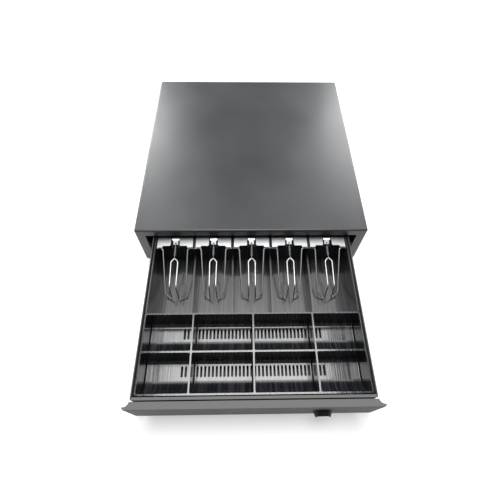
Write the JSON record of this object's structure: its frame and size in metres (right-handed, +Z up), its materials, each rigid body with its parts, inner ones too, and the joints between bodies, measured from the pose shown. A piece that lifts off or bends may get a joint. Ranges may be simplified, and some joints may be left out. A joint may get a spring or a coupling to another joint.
{
  "type": "cash drawer",
  "caption": "Steel point-of-sale cash drawer, pulled open on roller slides, with sprung bill clips, a lift-out coin tray, a key lock and an electric latch.",
  "frame": {"origin": "on the counter, under the centre of the cabinet's footprint", "axes": "+X to the user's right, +Y to the back of the cabinet, +Z up; the drawer opens along -Y"},
  "size_m": [0.41, 0.7118, 0.1],
  "materials": {
    "cabinet_paint": "fine-textured satin powder coat, charcoal",
    "drawer_paint": "fine-textured satin powder coat, near black",
    "till_plastic": "glossy moulded ABS, black",
    "plate_steel": "bright zinc plate",
    "clip_wire": "bright nickel plate",
    "spring_steel": "plain spring wire",
    "zinc_steel": "zinc-plated pressed steel",
    "screw_steel": "zinc-plated screws",
    "lock_black": "satin black cone",
    "lock_chrome": "polished chrome",
    "brass": "plain turned brass",
    "rubber": "matt moulded rubber",
    "nylon": "natural nylon",
    "coil": "taped copper coil",
    "switch_plastic": "moulded switch case",
    "board_green": "solder-masked circuit board",
    "socket_plastic": "moulded connector"
  },
  "bodies": {
    "cabinet": {"cabinet_cover": "cabinet_paint", "base_pan": "cabinet_paint", "rubber_feet": "rubber", "foot_screws": "screw_steel", "cover_screws": "screw_steel", "cabinet_axles": "zinc_steel", "cabinet_rail_left": "zinc_steel", "cabinet_rail_right": "zinc_steel", "latch_shelf": "zinc_steel", "shelf_screws": "screw_steel", "latch_pivot": "zinc_steel", "latch_spring": "spring_steel", "solenoid": "coil", "ejector_housing": "zinc_steel", "ejector_spring": "spring_steel", "switch_body": "switch_plastic", "circuit_board": "board_green", "board_posts": "brass", "cable_socket": "socket_plastic"},
    "drawer": {"drawer_box": "drawer_paint", "front_panel": "drawer_paint", "panel_screws": "screw_steel", "striker": "zinc_steel", "drawer_runner_left": "zinc_steel", "drawer_runner_right": "zinc_steel", "drawer_axles": "zinc_steel", "lock_bezel": "lock_black", "lock_housing": "lock_chrome", "lock_nut": "zinc_steel", "lock_guide": "zinc_steel", "bill_tray": "till_plastic", "clip_plate_1": "plate_steel", "clip_plate_2": "plate_steel", "clip_plate_3": "plate_steel", "clip_plate_4": "plate_steel", "clip_plate_5": "plate_steel", "clip_spring_1": "spring_steel", "clip_spring_2": "spring_steel", "clip_spring_3": "spring_steel", "clip_spring_4": "spring_steel", "clip_spring_5": "spring_steel"},
    "coin_tray": {"coin_tray": "till_plastic"},
    "key_cylinder": {"lock_cylinder": "lock_chrome"},
    "lock_bolt": {"lock_bolt": "zinc_steel"},
    "latch_lever": {"latch_lever": "zinc_steel"},
    "solenoid_plunger": {"solenoid_plunger": "zinc_steel"},
    "ejector_plunger": {"ejector_plunger": "nylon"},
    "switch_lever": {"switch_lever": "brass"},
    "bill_clip_1": {"bill_clip_1": "clip_wire"},
    "bill_clip_2": {"bill_clip_2": "clip_wire"},
    "bill_clip_3": {"bill_clip_3": "clip_wire"},
    "bill_clip_4": {"bill_clip_4": "clip_wire"},
    "bill_clip_5": {"bill_clip_5": "clip_wire"},
    "cabinet_roller_left": {"cabinet_roller_left": "nylon"},
    "drawer_roller_left": {"drawer_roller_left": "nylon"},
    "cabinet_roller_right": {"cabinet_roller_right": "nylon"},
    "drawer_roller_right": {"drawer_roller_right": "nylon"}
  },
  "joints": [
    {"name": "drawer_slide", "type": "slide", "parent": "cabinet", "child": "drawer", "axis": [0, 1, 0], "range_m": [0, 0.283]},
    {"name": "coin_tray_lift", "type": "slide", "parent": "drawer", "child": "coin_tray", "axis": [0, 0, -1], "range_m": [-0.08, 0]},
    {"name": "bill_clip_1_turn", "type": "hinge", "parent": "drawer", "child": "bill_clip_1", "pos_m": [-0.136, -0.2276, 0.0705], "axis": [1, 0, 0], "range_deg": [-80, 0], "stiffness_Nm_per_rad": 0.05, "springref_deg": 34.38, "deforming": ["clip_spring_1"]},
    {"name": "bill_clip_2_turn", "type": "hinge", "parent": "drawer", "child": "bill_clip_2", "pos_m": [-0.068, -0.2276, 0.0705], "axis": [1, 0, 0], "range_deg": [-80, 0], "stiffness_Nm_per_rad": 0.05, "springref_deg": 34.38, "deforming": ["clip_spring_2"]},
    {"name": "bill_clip_3_turn", "type": "hinge", "parent": "drawer", "child": "bill_clip_3", "pos_m": [0, -0.2276, 0.0705], "axis": [1, 0, 0], "range_deg": [-80, 0], "stiffness_Nm_per_rad": 0.05, "springref_deg": 34.38, "deforming": ["clip_spring_3"]},
    {"name": "bill_clip_4_turn", "type": "hinge", "parent": "drawer", "child": "bill_clip_4", "pos_m": [0.068, -0.2276, 0.0705], "axis": [1, 0, 0], "range_deg": [-80, 0], "stiffness_Nm_per_rad": 0.05, "springref_deg": 34.38, "deforming": ["clip_spring_4"]},
    {"name": "bill_clip_5_turn", "type": "hinge", "parent": "drawer", "child": "bill_clip_5", "pos_m": [0.136, -0.2276, 0.0705], "axis": [1, 0, 0], "range_deg": [-80, 0], "stiffness_Nm_per_rad": 0.05, "springref_deg": 34.38, "deforming": ["clip_spring_5"]},
    {"name": "lock_bolt_slide", "type": "slide", "parent": "drawer", "child": "lock_bolt", "axis": [0, 0, -1], "range_m": [0, 0.00848]},
    {"name": "key_turn", "type": "hinge", "parent": "drawer", "child": "key_cylinder", "pos_m": [0.1, -0.4873, 0.047], "axis": [0, 1, 0], "range_deg": [0, 90]},
    {"name": "solenoid_pull", "type": "slide", "parent": "cabinet", "child": "solenoid_plunger", "axis": [1, 0, 0], "range_m": [0, 0.00368], "stiffness_N_per_m": 220, "springref_m": -0.0045},
    {"name": "latch_turn", "type": "hinge", "parent": "cabinet", "child": "latch_lever", "pos_m": [0.01, 0.202, 0.0395], "axis": [0, 0, 1], "range_deg": [0, 14], "deforming": ["latch_spring"]},
    {"name": "ejector_push", "type": "slide", "parent": "cabinet", "child": "ejector_plunger", "axis": [0, 1, 0], "range_m": [0, 0.0141], "deforming": ["ejector_spring"]},
    {"name": "switch_press", "type": "hinge", "parent": "cabinet", "child": "switch_lever", "pos_m": [-0.042, 0.1726, 0.036], "axis": [0, 0, 1], "range_deg": [0, 5.2]},
    {"name": "cabinet_roller_left_spin", "type": "hinge", "parent": "cabinet", "child": "cabinet_roller_left", "pos_m": [-0.1803, -0.191, 0.02975], "axis": [1, 0, 0], "continuous": true},
    {"name": "drawer_roller_left_spin", "type": "hinge", "parent": "drawer", "child": "drawer_roller_left", "pos_m": [-0.1803, -0.125, 0.02725], "axis": [1, 0, 0], "continuous": true},
    {"name": "cabinet_roller_right_spin", "type": "hinge", "parent": "cabinet", "child": "cabinet_roller_right", "pos_m": [0.1803, -0.191, 0.02975], "axis": [1, 0, 0], "continuous": true},
    {"name": "drawer_roller_right_spin", "type": "hinge", "parent": "drawer", "child": "drawer_roller_right", "pos_m": [0.1803, -0.125, 0.02725], "axis": [1, 0, 0], "continuous": true}
  ],
  "couplings": [
    {"joint": "key_turn", "follows": "lock_bolt_slide", "rad_per_m": 185.2},
    {"joint": "latch_turn", "follows": "solenoid_pull", "rad_per_m": 66.225},
    {"joint": "ejector_push", "follows": "drawer_slide", "ratio": 0.04947},
    {"joint": "switch_press", "follows": "drawer_slide", "rad_per_m": 0.30836},
    {"joint": "cabinet_roller_left_spin", "follows": "drawer_slide", "rad_per_m": -111.11},
    {"joint": "drawer_roller_left_spin", "follows": "drawer_slide", "rad_per_m": -111.11},
    {"joint": "cabinet_roller_right_spin", "follows": "drawer_slide", "rad_per_m": -111.11},
    {"joint": "drawer_roller_right_spin", "follows": "drawer_slide", "rad_per_m": -111.11}
  ]
}
